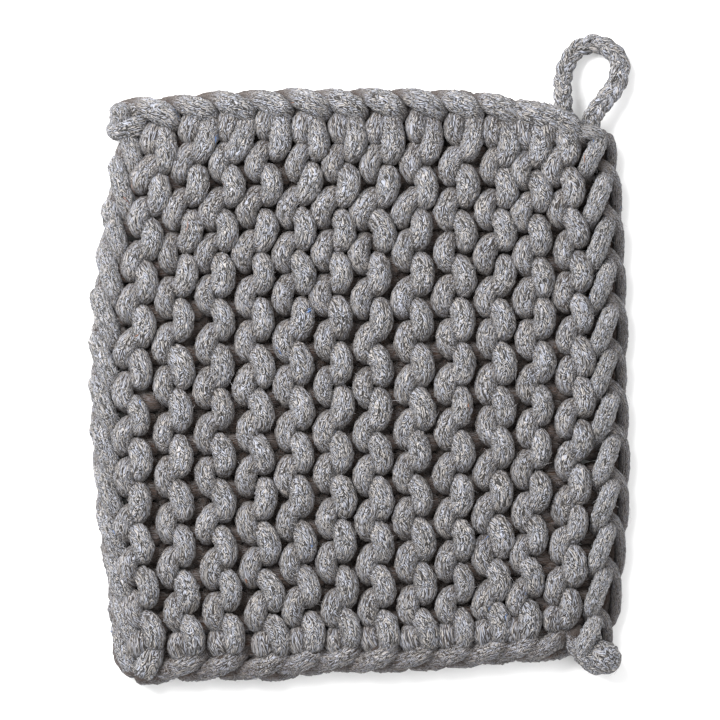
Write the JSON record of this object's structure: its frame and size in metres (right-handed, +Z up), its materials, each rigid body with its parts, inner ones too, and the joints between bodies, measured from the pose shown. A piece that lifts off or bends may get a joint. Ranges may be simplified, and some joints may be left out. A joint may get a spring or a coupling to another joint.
{
  "type": "pot holder",
  "caption": "Thick flat pot holder knitted in grey cotton cord in garter stitch, with a hanging loop at a corner.",
  "frame": {"origin": "on the surface that it lies on, under the middle of its bounding box, loop included", "axes": "+X across the ridges of the knitting, +Y along them towards the edge with the loop, +Z up out of the front"},
  "size_m": [0.209, 0.2497, 0.019],
  "materials": {
    "cotton_cord": "matte, heathered grey"
  },
  "bodies": {
    "root": {"knit_pad": "cotton_cord", "hanging_loop": "cotton_cord"}
  },
  "joints": []
}
